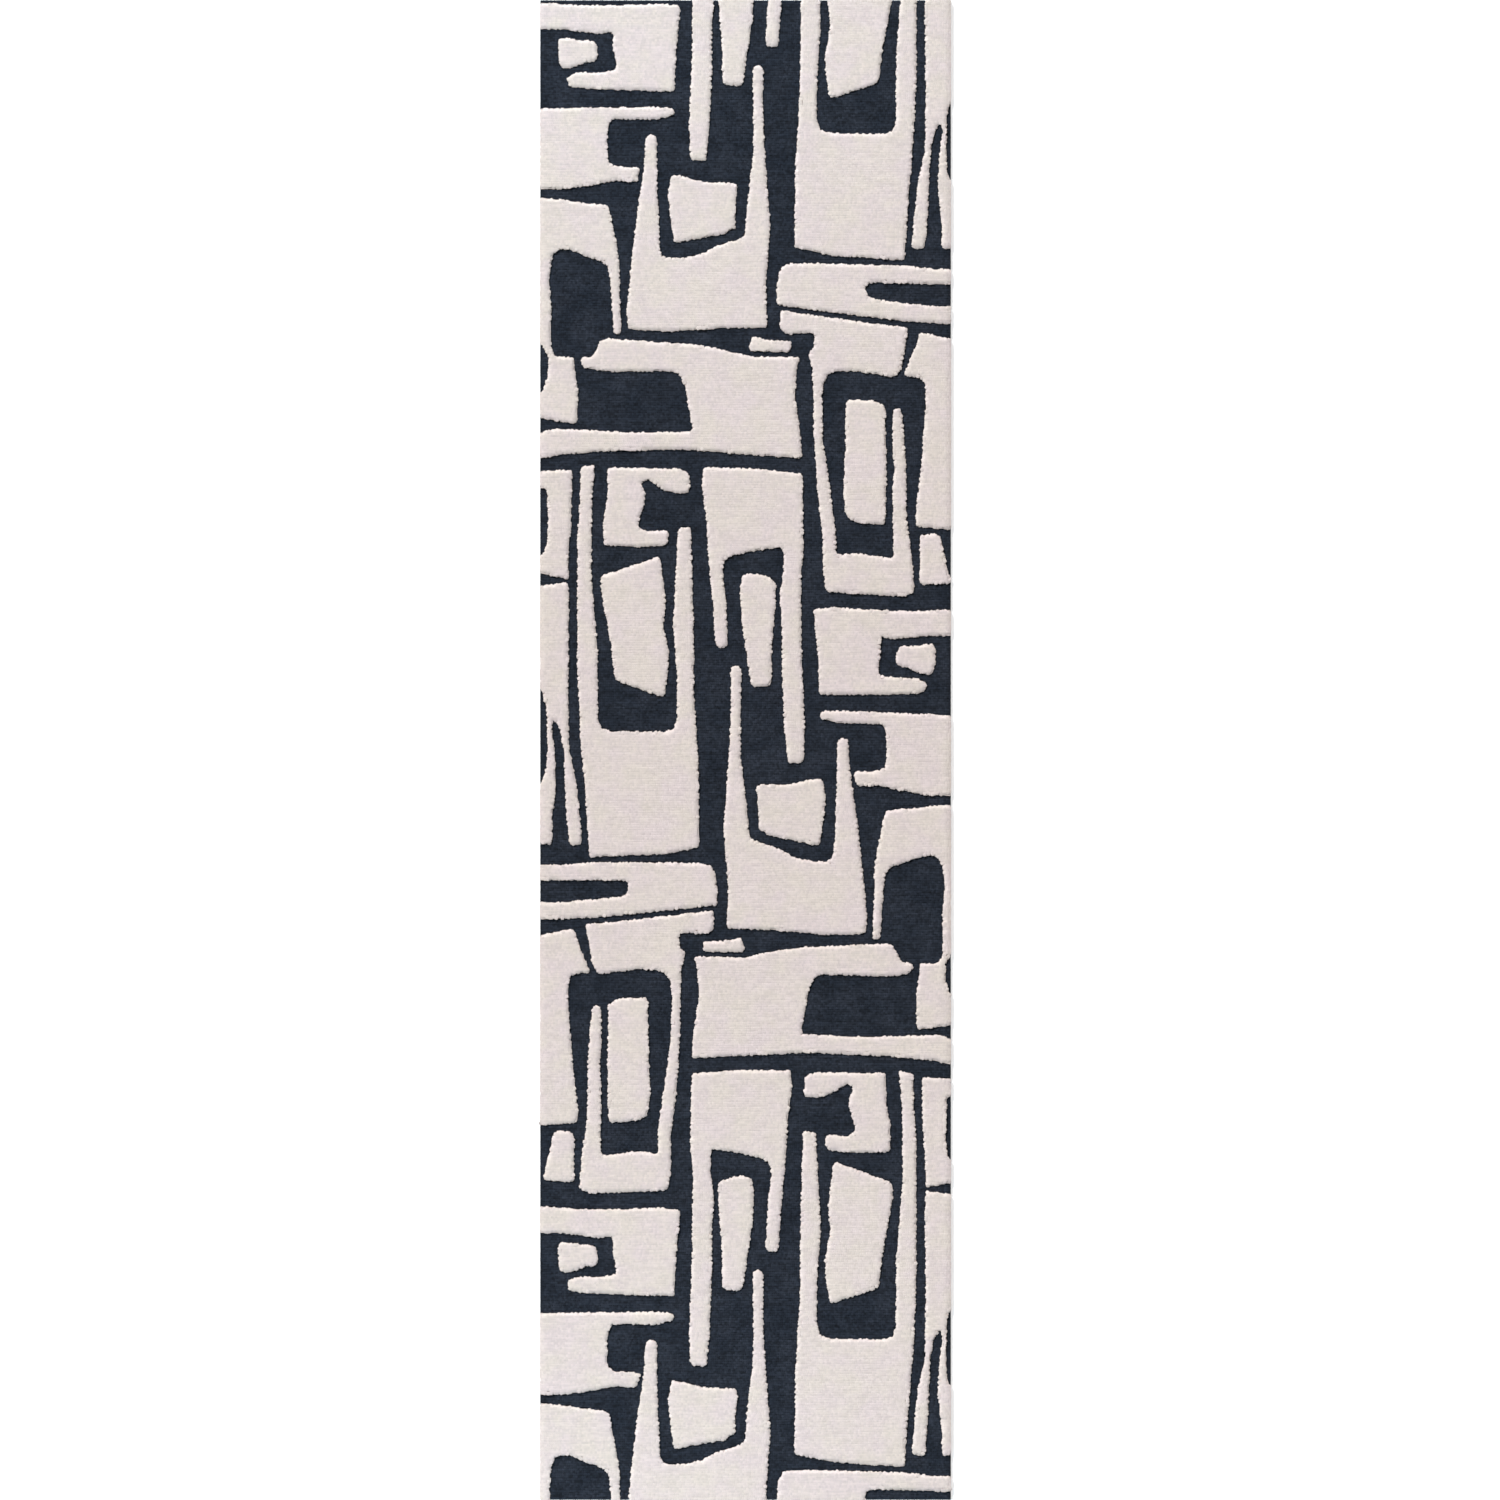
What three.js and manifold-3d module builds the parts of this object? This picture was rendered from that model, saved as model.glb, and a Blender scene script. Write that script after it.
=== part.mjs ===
// Runner rug, loom-woven in high and low pile.
// A jute ground carries one low charcoal pile, and ivory fields of taller pile stand in it.
// The long sides are overcast cords and the two ends are taped.
// Millimetres, +Z up, +Y towards the head end, origin in the middle of the underside.
import * as THREE from 'three';
import { mergeVertices } from 'three/addons/utils/BufferGeometryUtils.js';
import Module from 'manifold-3d';

const wasm = await Module();
wasm.setup();

// Driving dimensions
const RUG_WIDTH = 660;
const RUG_LENGTH = 2410;
const GROUND_TOP = 3; // the woven ground lies from the floor up to here
const BURIED_YARN = 0.8; // charcoal yarn woven in under the ivory fields
const CHARCOAL_TOP = 8;
const IVORY_TOP = 12;
const FIELD_GAP = 0.3; // parting between an ivory field and the charcoal pile around it

// The design is drawn for the middle half-repeat. The ones before and after it are its mirror
// image, and the loom's tension leaves the rows a little skew and the foot end a little longer.
const MIRROR_X = 2.3;
const HALF_REPEATS = [
  { shift: 966, mirrored: true, skew: -0.014, stretch: 1 },
  { shift: 0, mirrored: false, skew: 0, stretch: 1 },
  { shift: -971, mirrored: true, skew: -0.015, stretch: 1.009 },
];
const CORNER_STEPS = 2;

// Edge finishes
const CORD_WIDTH = 3.7;
const CORD_HEIGHT = 3;
const CORD_CORNER = 1.2;
const TAPE_WIDTH = 25;
const TAPE_THICKNESS = 0.8;
const TAPE_LIP = 0.9; // the turned-up part of the tape that covers the cut end of the ground
const LABEL_SIZE = [60, 40, 0.3];
const LABEL_INSET = [70, 90]; // from the head-end corner to the middle of the label
const FIT_GAP = 0.3;

const HALF_WIDTH = RUG_WIDTH / 2;
const HALF_LENGTH = RUG_LENGTH / 2;
const GROUND_HALF_WIDTH = HALF_WIDTH - CORD_WIDTH - FIT_GAP;
const GROUND_HALF_LENGTH = HALF_LENGTH - TAPE_LIP - FIT_GAP;
const ROOT_TOP = GROUND_TOP + BURIED_YARN;

// Each ivory field of one half-repeat: its corners in order round it, as [x, y, rounding].
// A field that runs off a long side is drawn past it and is cut at the edge of the rug.
const FIELDS = {
  tower: [
    [-266, 456, 5], [-241, 460, 4], [-246, 405, 0], [-247, 280, 0], [-237, 165, 0],
    [-236, 31, 20], [-111, 30, 20], [-111, 120, 0], [-117, 200, 0], [-113, 290, 0],
    [-109, 357, 4], [-87, 360, 4], [-83, 215, 0], [-82, 90, 0], [-75, -20, 0],
    [-73, -157, 6], [-130, -168, 0], [-252, -173, 4], [-256, -100, 0], [-266, 20, 0],
    [-271, 130, 0], [-271, 340, 0], [-267, 400, 0],
  ],
  hook: [
    [-222, 455, 4], [-110, 453, 0], [-90, 448, 8], [-88, 411, 10], [-108, 411, 4],
    [-133, 418, 0], [-159, 436, 6], [-168, 428, 4], [-160, 413, 0], [-162, 395, 0],
    [-173, 361, 5], [-160, 353, 4], [-123, 354, 5], [-124, 328, 8], [-170, 325, 0],
    [-229, 328, 8], [-229, 372, 0], [-223, 405, 0],
  ],
  arch: [
    [-69, 455, 4], [20, 453, 0], [92, 445, 5], [94, 320, 0], [90, 285, 0],
    [91, 160, 0], [96, 30, 0], [94, -22, 8], [67, -22, 4], [62, 30, 0],
    [58, 120, 0], [58, 190, 0], [54, 250, 0], [60, 285, 0], [60, 326, 8],
    [15, 319, 0], [-34, 309, 14], [-36, 285, 0], [-31, 250, 0], [-27, 164, 8],
    [-49, 164, 8], [-52, 220, 0], [-62, 325, 0], [-63, 365, 0], [-71, 425, 0],
  ],
  edge_bracket: [
    [-345, 449, 0], [-278, 451, 4], [-279, 375, 0], [-283, 320, 0], [-284, 273, 2],
    [-345, 286, 0], [-345, 312, 0], [-326, 314, 5], [-319, 335, 0], [-318, 375, 0],
    [-320, 419, 5], [-345, 420, 0],
  ],
  small_brick: [
    [279, 347, 10], [314, 348, 10], [321, 310, 0], [332, 266, 8], [279, 265, 6],
  ],
  tower_window: [
    [-233, 280, 6], [-136, 313, 8], [-133, 285, 0], [-127, 240, 0], [-131, 200, 0],
    [-122, 155, 0], [-124, 120, 0], [-130, 83, 6], [-170, 97, 0], [-210, 111, 8],
    [-217, 170, 0], [-233, 255, 0],
  ],
  arch_window: [
    [-5, 284, 8], [20, 284, 0], [50, 274, 12], [49, 235, 0], [43, 165, 0],
    [43, 101, 10], [9, 100, 8], [0, 160, 0], [-7, 205, 0], [-10, 260, 0],
  ],
  edge_spikes: [
    [-345, 263, 0], [-284, 270, 4], [-283, 230, 0], [-284, 100, 0], [-283, 5, 0],
    [-271, -50, 0], [-261, -154, 9], [-284, -154, 6], [-289, -100, 0], [-293, 0, 0],
    [-299, 34, 4], [-308, 48, 3], [-311, 38, 0], [-305, -10, 0], [-304, -55, 0],
    [-310, -110, 0], [-310, -153, 5], [-345, -150, 0], [-345, -54, 0], [-328, -50, 0],
    [-320, -25, 0], [-319, 0, 0], [-320, 62, 0], [-328, 95, 0], [-345, 104, 0],
  ],
  windowed_brick: [
    [108, 228, 8], [145, 230, 0], [200, 226, 0], [270, 224, 0], [345, 227, 0],
    [345, 182, 0], [300, 183, 0], [235, 177, 0], [218, 183, 8], [218, 155, 0],
    [212, 121, 8], [245, 117, 0], [275, 116, 0], [294, 108, 8], [289, 91, 8],
    [245, 88, 0], [118, 88, 4], [115, 155, 0],
  ],
  brick_window: [
    [243, 168, 12], [270, 168, 0], [306, 172, 9], [306, 140, 0], [302, 119, 10],
    [284, 121, 5], [262, 131, 0], [240, 134, 10],
  ],
  fork: [
    [-25, 136, 10], [-6, 136, 10], [-7, 60, 0], [-7, -10, 0], [4, -100, 0],
    [7, -142, 8], [45, -154, 0], [75, -170, 0], [105, -178, 10], [141, -178, 12],
    [143, -125, 0], [146, -60, 0], [146, 20, 9], [166, 19, 9], [168, -30, 0],
    [180, -110, 0], [189, -190, 0], [196, -265, 0], [195, -297, 10], [130, -298, 0],
    [40, -290, 0], [-31, -287, 4], [-29, -220, 0], [-36, -120, 0], [-27, 0, 0],
    [-24, 70, 0],
  ],
  shelf: [
    [118, 63, 8], [150, 64, 0], [200, 62, 0], [345, 56, 0], [345, -76, 0],
    [290, -73, 0], [240, -64, 0], [215, -58, 0], [179, -59, 4], [172, -34, 6],
    [212, -33, 0], [226, -28, 10], [226, 20, 0], [220, 41, 6], [150, 42, 0],
    [118, 50, 6],
  ],
  fork_window: [
    [16, -55, 7], [70, -54, 0], [124, -43, 8], [130, -78, 0], [124, -130, 0],
    [120, -156, 7], [95, -150, 0], [40, -139, 0], [20, -127, 3], [20, -95, 0],
  ],
  edge_frame: [
    [345, -86, 0], [290, -90, 0], [268, -93, 0], [224, -96, 10], [212, -155, 0],
    [206, -195, 0], [206, -235, 0], [203, -304, 6], [217, -305, 6], [222, -235, 0],
    [225, -192, 14], [262, -180, 0], [288, -169, 14], [314, -173, 14], [319, -220, 0],
    [316, -262, 0], [316, -325, 0], [312, -342, 9], [279, -342, 3], [278, -360, 0],
    [273, -400, 0], [274, -449, 5], [290, -449, 0], [345, -441, 0], [345, -402, 0],
    [331, -398, 0], [323, -372, 0], [322, -345, 0], [331, -326, 0], [345, -322, 0],
  ],
  slotted_bar: [
    [-345, -183, 0], [-300, -184, 0], [-250, -180, 0], [-110, -180, 0], [-50, -182, 18],
    [-44, -230, 0], [-45, -250, 3], [-100, -256, 0], [-240, -270, 0], [-345, -274, 0],
    [-345, -243, 0], [-300, -244, 0], [-240, -239, 0], [-194, -234, 8], [-187, -218, 5],
    [-194, -210, 6], [-345, -210, 0],
  ],
  gate: [
    [-258, -279, 4], [-190, -273, 0], [-50, -257, 4], [-50, -291, 6], [-66, -297, 0],
    [-106, -293, 9], [-105, -317, 6], [-95, -327, 3], [-102, -350, 0], [-104, -400, 0],
    [-104, -450, 0], [-110, -550, 0], [-119, -620, 0], [-119, -670, 0], [-124, -708, 5],
    [-165, -711, 0], [-250, -713, 0], [-268, -706, 6], [-264, -650, 0], [-255, -590, 0],
    [-254, -500, 0], [-249, -430, 0], [-247, -409, 9], [-231, -410, 9], [-231, -480, 0],
    [-234, -500, 0], [-231, -540, 0], [-232, -651, 6], [-175, -644, 0], [-142, -648, 4],
    [-141, -610, 0], [-133, -550, 0], [-120, -460, 0], [-119, -390, 0], [-125, -356, 16],
    [-170, -353, 0], [-236, -361, 5], [-247, -345, 0],
  ],
  edge_pillar: [
    [-345, -299, 0], [-275, -286, 5], [-268, -310, 0], [-248, -358, 4], [-283, -361, 12],
    [-284, -405, 0], [-278, -490, 0], [-268, -580, 0], [-269, -600, 6], [-345, -605, 0],
  ],
  dash: [
    [-70, -306, 6], [-36, -306, 0], [-5, -300, 8], [1, -325, 8], [-68, -326, 9],
  ],
  bench: [
    [-84, -331, 5], [-5, -333, 0], [50, -321, 0], [90, -316, 0], [236, -310, 9],
    [251, -340, 5], [272, -342, 7], [267, -361, 12], [220, -365, 0], [112, -361, 12],
    [103, -385, 0], [90, -456, 5], [190, -460, 0], [310, -457, 0], [345, -468, 0],
    [345, -510, 0], [300, -500, 0], [230, -493, 0], [100, -487, 0], [45, -490, 0],
    [-40, -494, 0], [-88, -496, 7], [-84, -450, 0], [-76, -400, 0], [-78, -355, 0],
  ],
  gate_window: [
    [-222, -410, 4], [-207, -398, 9], [-156, -397, 8], [-155, -480, 0], [-152, -550, 0],
    [-156, -591, 12], [-180, -597, 0], [-221, -600, 7], [-223, -500, 0], [-221, -430, 0],
  ],
};

// Materials
const cloth = (color, roughness) => new THREE.MeshStandardMaterial({ color, roughness, metalness: 0 });
const IVORY_YARN = cloth('#e1d8d5', 0.95);
const CHARCOAL_YARN = cloth('#2d3038', 0.95);
const JUTE = cloth('#b59a72', 0.9);
const EDGE_YARN = cloth('#d8cfc8', 0.9);
const COTTON_TAPE = cloth('#cfc4ae', 0.9);
const LABEL_CLOTH = cloth('#f2f0ec', 0.7);

// A closed mesh with shared corners, as a solid that can be joined and cut.
function solidOf(geometry) {
  const bare = geometry.clone();
  bare.deleteAttribute('normal');
  bare.deleteAttribute('uv');
  const merged = mergeVertices(bare);
  const mesh = new wasm.Mesh({
    numProp: 3,
    vertProperties: new Float32Array(merged.attributes.position.array),
    triVerts: new Uint32Array(merged.index.array),
  });
  return new wasm.Manifold(mesh);
}

function geometryOf(solid) {
  const { vertProperties, triVerts } = solid.getMesh();
  const geometry = new THREE.BufferGeometry();
  geometry.setAttribute('position', new THREE.BufferAttribute(vertProperties, 3));
  geometry.setIndex(new THREE.BufferAttribute(triVerts, 1));
  geometry.computeVertexNormals();
  return geometry;
}

// An upright prism on a flat outline, from the height low to the height high.
function prism(points, low, high) {
  const shape = new THREE.Shape(points);
  const geometry = new THREE.ExtrudeGeometry(shape, { depth: high - low, bevelEnabled: false });
  return geometry.translate(0, 0, low);
}

function block([x0, x1], [y0, y1], [z0, z1]) {
  const geometry = new THREE.BoxGeometry(x1 - x0, y1 - y0, z1 - z0);
  return geometry.translate((x0 + x1) / 2, (y0 + y1) / 2, (z0 + z1) / 2);
}

// A point on the side from one corner towards the next, never past the middle of that side.
function along(from, to, distance) {
  return from.clone().lerp(to, Math.min(0.5, distance / from.distanceTo(to)));
}

// The outline with its corners rounded.
function rounded(corners) {
  const spots = corners.map(([x, y]) => new THREE.Vector2(x, y));
  const path = new THREE.Path();
  corners.forEach(([, , rounding], i) => {
    const corner = spots[i];
    const before = spots.at(i - 1);
    const after = spots[(i + 1) % spots.length];
    const start = along(corner, before, rounding);
    if (i === 0) path.moveTo(start.x, start.y);
    else path.lineTo(start.x, start.y);
    if (rounding > 0) {
      const end = along(corner, after, rounding);
      path.quadraticCurveTo(corner.x, corner.y, end.x, end.y);
    }
  });
  const points = path.getPoints(CORNER_STEPS);
  return points.filter((point, i) => point.distanceTo(points.at(i - 1)) > 0.01);
}

// The outline moved inwards all round by a small distance.
function inset(points, distance) {
  const inward = THREE.ShapeUtils.isClockWise(points) ? -distance : distance;
  return points.map((point, i) => {
    const arriving = point.clone().sub(points.at(i - 1)).normalize();
    const leaving = points[(i + 1) % points.length].clone().sub(point).normalize();
    const bisector = arriving.clone().add(leaving).normalize();
    const reach = inward / Math.max(0.4, bisector.dot(arriving));
    return new THREE.Vector2(point.x - bisector.y * reach, point.y + bisector.x * reach);
  });
}

// One drawn outline carried to a half-repeat.
function placed(points, { shift, mirrored, skew, stretch }) {
  return points.map(({ x, y }) => {
    const across = mirrored ? 2 * MIRROR_X - x : x;
    return new THREE.Vector2(across, y * stretch + shift + skew * (across - x));
  });
}

function eachPlacedOutline(visit) {
  for (const [name, corners] of Object.entries(FIELDS)) {
    const drawn = rounded(corners);
    HALF_REPEATS.forEach((halfRepeat, i) => visit(name, placed(drawn, halfRepeat), i + 1));
  }
}

const rug = new THREE.Group();
rug.name = 'runner_rug';

function add(name, geometry, material) {
  const mesh = new THREE.Mesh(geometry, material);
  mesh.name = name;
  rug.add(mesh);
}

// Ivory fields: every drawn outline in every half-repeat, cut off at the edges of the rug.
// A field that the head end cuts in two becomes two fields.
function addIvoryFields() {
  const pileSpace = solidOf(block(
    [-HALF_WIDTH, HALF_WIDTH],
    [-HALF_LENGTH, HALF_LENGTH],
    [GROUND_TOP, IVORY_TOP + 1],
  ));
  eachPlacedOutline((name, outline, row) => {
    const whole = solidOf(prism(inset(outline, FIELD_GAP), ROOT_TOP, IVORY_TOP));
    const pieces = whole.intersect(pileSpace).decompose();
    pieces.forEach((piece, i) => {
      const letter = pieces.length > 1 ? 'ab'[i] : '';
      add(`ivory_${name}_${row}${letter}`, geometryOf(piece), IVORY_YARN);
    });
  });
}

// Low charcoal pile: a root layer over the whole ground, with a pocket for each ivory field.
function charcoalPile() {
  let pile = solidOf(block(
    [-HALF_WIDTH, HALF_WIDTH],
    [-HALF_LENGTH, HALF_LENGTH],
    [GROUND_TOP, CHARCOAL_TOP],
  ));
  eachPlacedOutline((name, outline) => {
    pile = pile.subtract(solidOf(prism(outline, ROOT_TOP, IVORY_TOP + 1)));
  });
  return geometryOf(pile);
}

function labelSpan(margin) {
  const [insetX, insetY] = LABEL_INSET;
  const [sizeX, sizeY, thickness] = LABEL_SIZE;
  const x = -HALF_WIDTH + insetX;
  const y = HALF_LENGTH - insetY;
  return [
    [x - sizeX / 2 - margin, x + sizeX / 2 + margin],
    [y - sizeY / 2 - margin, y + sizeY / 2 + margin],
    [0, thickness],
  ];
}

// Ground weave: a flat slab, pressed in where the end tapes and the label lie against it.
function groundWeave() {
  let ground = solidOf(block(
    [-GROUND_HALF_WIDTH, GROUND_HALF_WIDTH],
    [-GROUND_HALF_LENGTH, GROUND_HALF_LENGTH],
    [0, GROUND_TOP],
  ));
  const tapeInner = HALF_LENGTH - TAPE_WIDTH - FIT_GAP;
  for (const end of [[-HALF_LENGTH, -tapeInner], [tapeInner, HALF_LENGTH]]) {
    ground = ground.subtract(solidOf(block([-HALF_WIDTH, HALF_WIDTH], end, [-1, TAPE_THICKNESS])));
  }
  const [x, y, [, thickness]] = labelSpan(FIT_GAP);
  ground = ground.subtract(solidOf(block(x, y, [-1, thickness])));
  return geometryOf(ground);
}

// Serged edge: a cord overcast with yarn that closes the long side, its inner face flat.
function sergedEdge(side) {
  const inner = side * (HALF_WIDTH - CORD_WIDTH);
  const outer = side * HALF_WIDTH;
  const profile = rounded([
    [inner, 0, 0], [outer, 0, CORD_CORNER], [outer, CORD_HEIGHT, CORD_CORNER], [inner, CORD_HEIGHT, 0],
  ]);
  const geometry = prism(profile, -HALF_LENGTH, HALF_LENGTH);
  return geometry.rotateX(Math.PI / 2);
}

// End tape: flat under the ground and turned up over its cut end.
function endTape(end) {
  const outer = end * HALF_LENGTH;
  const lip = end * (HALF_LENGTH - TAPE_LIP);
  const inner = end * (HALF_LENGTH - TAPE_WIDTH);
  const profile = [
    [inner, 0], [outer, 0], [outer, GROUND_TOP],
    [lip, GROUND_TOP], [lip, TAPE_THICKNESS], [inner, TAPE_THICKNESS],
  ].map(([y, z]) => new THREE.Vector2(y, z));
  const geometry = prism(profile, -GROUND_HALF_WIDTH, GROUND_HALF_WIDTH);
  geometry.rotateX(Math.PI / 2);
  return geometry.rotateZ(Math.PI / 2);
}

addIvoryFields();
add('charcoal_pile', charcoalPile(), CHARCOAL_YARN);
add('ground_weave', groundWeave(), JUTE);
add('left_serged_edge', sergedEdge(-1), EDGE_YARN);
add('right_serged_edge', sergedEdge(1), EDGE_YARN);
add('head_end_tape', endTape(1), COTTON_TAPE);
add('foot_end_tape', endTape(-1), COTTON_TAPE);
add('care_label', block(...labelSpan(0)), LABEL_CLOTH);

export default rug;
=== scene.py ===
# %% [markdown]
# # A runner rug with a high and a low pile
#
# The rug is woven, so it is made here the way a loom makes it: row after row of short yarn
# ends, each standing in the ground and cut off at the top. Where the design is ivory the loom
# cuts the yarn long, and where it is charcoal it cuts it short.
#
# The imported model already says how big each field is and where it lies. It is loaded first and
# stays as it is. Every piece made below stands for one of its bodies and keeps to its place.

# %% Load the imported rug
import math

import bmesh
import bpy
import numpy as np
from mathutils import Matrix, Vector
from mathutils.bvhtree import BVHTree


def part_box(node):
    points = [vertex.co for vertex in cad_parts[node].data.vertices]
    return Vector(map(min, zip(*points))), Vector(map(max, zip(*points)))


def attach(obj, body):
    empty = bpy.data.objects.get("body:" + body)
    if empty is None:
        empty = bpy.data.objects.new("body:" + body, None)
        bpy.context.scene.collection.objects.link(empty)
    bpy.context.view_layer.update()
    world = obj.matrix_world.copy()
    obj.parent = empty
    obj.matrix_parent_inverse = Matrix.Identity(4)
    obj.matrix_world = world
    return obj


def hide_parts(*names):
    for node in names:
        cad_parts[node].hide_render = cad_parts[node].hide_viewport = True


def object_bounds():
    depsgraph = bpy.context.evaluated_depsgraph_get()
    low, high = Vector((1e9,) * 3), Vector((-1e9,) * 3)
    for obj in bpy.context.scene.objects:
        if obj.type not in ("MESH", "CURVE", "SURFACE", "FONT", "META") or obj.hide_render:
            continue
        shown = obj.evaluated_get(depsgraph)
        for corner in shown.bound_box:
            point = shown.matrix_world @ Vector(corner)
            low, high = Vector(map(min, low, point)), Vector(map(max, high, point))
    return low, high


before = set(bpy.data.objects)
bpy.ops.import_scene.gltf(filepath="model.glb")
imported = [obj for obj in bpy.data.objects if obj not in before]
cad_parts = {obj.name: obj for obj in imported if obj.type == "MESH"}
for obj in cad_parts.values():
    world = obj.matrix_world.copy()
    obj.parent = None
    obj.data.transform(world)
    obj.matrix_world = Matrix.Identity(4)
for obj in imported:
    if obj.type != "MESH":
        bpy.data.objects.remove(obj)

CAD_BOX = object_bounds()
MM = 0.001
HALF_WIDTH = CAD_BOX[1].x
HALF_LENGTH = CAD_BOX[1].y
IVORY_TOP = CAD_BOX[1].z
CHARCOAL_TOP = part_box("charcoal_pile")[1].z
GROUND_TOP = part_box("charcoal_pile")[0].z
IVORY_FIELDS = sorted(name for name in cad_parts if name.startswith("ivory_"))
print(f"The rug is {2000 * HALF_WIDTH:.0f} by {2000 * HALF_LENGTH:.0f} mm, {1000 * IVORY_TOP:.0f} mm high")
print(f"{len(IVORY_FIELDS)} ivory fields stand in one charcoal pile")

# %% [markdown]
# ## Camera
#
# A rug is shown flat, from straight above, so that its design keeps its proportions. A real
# lens looking down from a low ceiling would make the ends smaller than the middle. A long lens
# from far away keeps both the same size, and the picture is as high as the rug is long.

# %% Camera
LENS = 250
SENSOR = 36
SIDE_STEP = 7.2 * MM

lens = bpy.data.cameras.new("long_lens")
lens.lens = LENS
lens.sensor_width = SENSOR
camera = bpy.data.objects.new("camera", lens)
camera.location.x = SIDE_STEP
camera.location.z = IVORY_TOP + HALF_LENGTH * LENS / (SENSOR / 2)
lens.clip_start = 1
lens.clip_end = 100
bpy.context.scene.collection.objects.link(camera)
bpy.context.scene.camera = camera
print(f"The camera hangs {camera.location.z:.1f} m above the floor")

# %% [markdown]
# ## Studio
#
# A white floor, a white room and three lamps. The main lamp shines from beyond the head end and
# a little from the left, halfway up, so each ivory field shows a bright rim on those sides and
# lays a narrow shadow on the charcoal behind it. A cooler panel stands over each end, as two
# windows would, and the light falls off towards the middle of the rug. The standard view keeps
# white paper white.

# %% Studio
FLOOR_SIZE = 80
FLOOR_DROP = 0.2 * MM
ROOM_LIGHT = 0.155
LAMP_POWER = 3.05
LAMP_FROM = Vector((-0.5, 0.8, 0.8))
LAMP_SOFTNESS = math.radians(14)
PANEL_POWER = 8.0
PANEL_COLOUR = (0.58, 0.85, 1.0)
PANEL_PLACE = Vector((-0.5, HALF_LENGTH + 0.5, 1.2))
PANEL_SIZE = 1
PAPER_WHITE = 0.88
PAPER_GLOW = 0.6


def plain_mesh(name, points, faces):
    """A mesh from a list of points and a list of faces."""
    mesh = bpy.data.meshes.new(name)
    mesh.from_pydata([tuple(p) for p in points], [], [tuple(f) for f in faces])
    mesh.update()
    return mesh


def shown(name, mesh):
    """An object in the scene, at the origin, that shows this mesh."""
    piece = bpy.data.objects.new(name, mesh)
    bpy.context.scene.collection.objects.link(piece)
    return piece


half = FLOOR_SIZE / 2
corners = [(-half, -half), (half, -half), (half, half), (-half, half)]
floor_mesh = plain_mesh("floor", [(x, y, -FLOOR_DROP) for x, y in corners], [(0, 1, 2, 3)])
floor = shown("floor", floor_mesh)
paper = bpy.data.materials.new("white_paper")
paper.use_nodes = True
coating = paper.node_tree.nodes["Principled BSDF"]
coating.inputs["Base Color"].default_value = (PAPER_WHITE, PAPER_WHITE, PAPER_WHITE, 1)
coating.inputs["Roughness"].default_value = 0.9
coating.inputs["Specular IOR Level"].default_value = 0.1
coating.inputs["Emission Color"].default_value = (1, 1, 1, 1)
coating.inputs["Emission Strength"].default_value = PAPER_GLOW
floor.data.materials.append(paper)

lamp = bpy.data.lights.new("soft_lamp", "SUN")
lamp.energy = LAMP_POWER
lamp.angle = LAMP_SOFTNESS
lamp_stand = bpy.data.objects.new("soft_lamp", lamp)
lamp_stand.rotation_mode = "QUATERNION"
lamp_stand.rotation_quaternion = LAMP_FROM.to_track_quat("Z", "Y")
bpy.context.scene.collection.objects.link(lamp_stand)

for way in (-1, 1):
    panel = bpy.data.lights.new("end_panel", "AREA")
    panel.size = PANEL_SIZE
    panel.energy = PANEL_POWER
    panel.color = PANEL_COLOUR
    panel_stand = bpy.data.objects.new("end_panel", panel)
    panel_stand.location = PANEL_PLACE * Vector((1, way, 1))
    down_to_end = Vector((0, way * HALF_LENGTH, 0)) - panel_stand.location
    panel_stand.rotation_mode = "QUATERNION"
    panel_stand.rotation_quaternion = down_to_end.to_track_quat("-Z", "Y")
    bpy.context.scene.collection.objects.link(panel_stand)

room = bpy.data.worlds.new("white_room")
room.use_nodes = True
bpy.context.scene.world = room
walls = room.node_tree
walls.nodes["Background"].inputs["Color"].default_value = (1, 1, 1, 1)
seen = walls.nodes.new("ShaderNodeLightPath")
strength = walls.nodes.new("ShaderNodeMix")
strength.inputs["A"].default_value = ROOM_LIGHT
strength.inputs["B"].default_value = 1
walls.links.new(seen.outputs["Is Camera Ray"], strength.inputs["Factor"])
walls.links.new(strength.outputs["Result"], walls.nodes["Background"].inputs["Strength"])
bpy.context.scene.view_settings.view_transform = "Standard"
print("Studio: one floor, three lamps and a white room")

# %% [markdown]
# ## Wiring for the finishes
#
# A finish is a small drawing made of nodes. Written out one node at a time it is hard to read,
# so one class wraps a socket and lets the usual signs work on it: `1 - mask` adds a Math node.
# Every other node comes from its method `node`.

# %% Wiring
def socket_of(sockets, key):
    """A node's socket by number, or the one with that name that its settings leave in use."""
    if isinstance(key, int):
        return sockets[key]
    return next(s for s in sockets if s.name == key and s.enabled)


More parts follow.
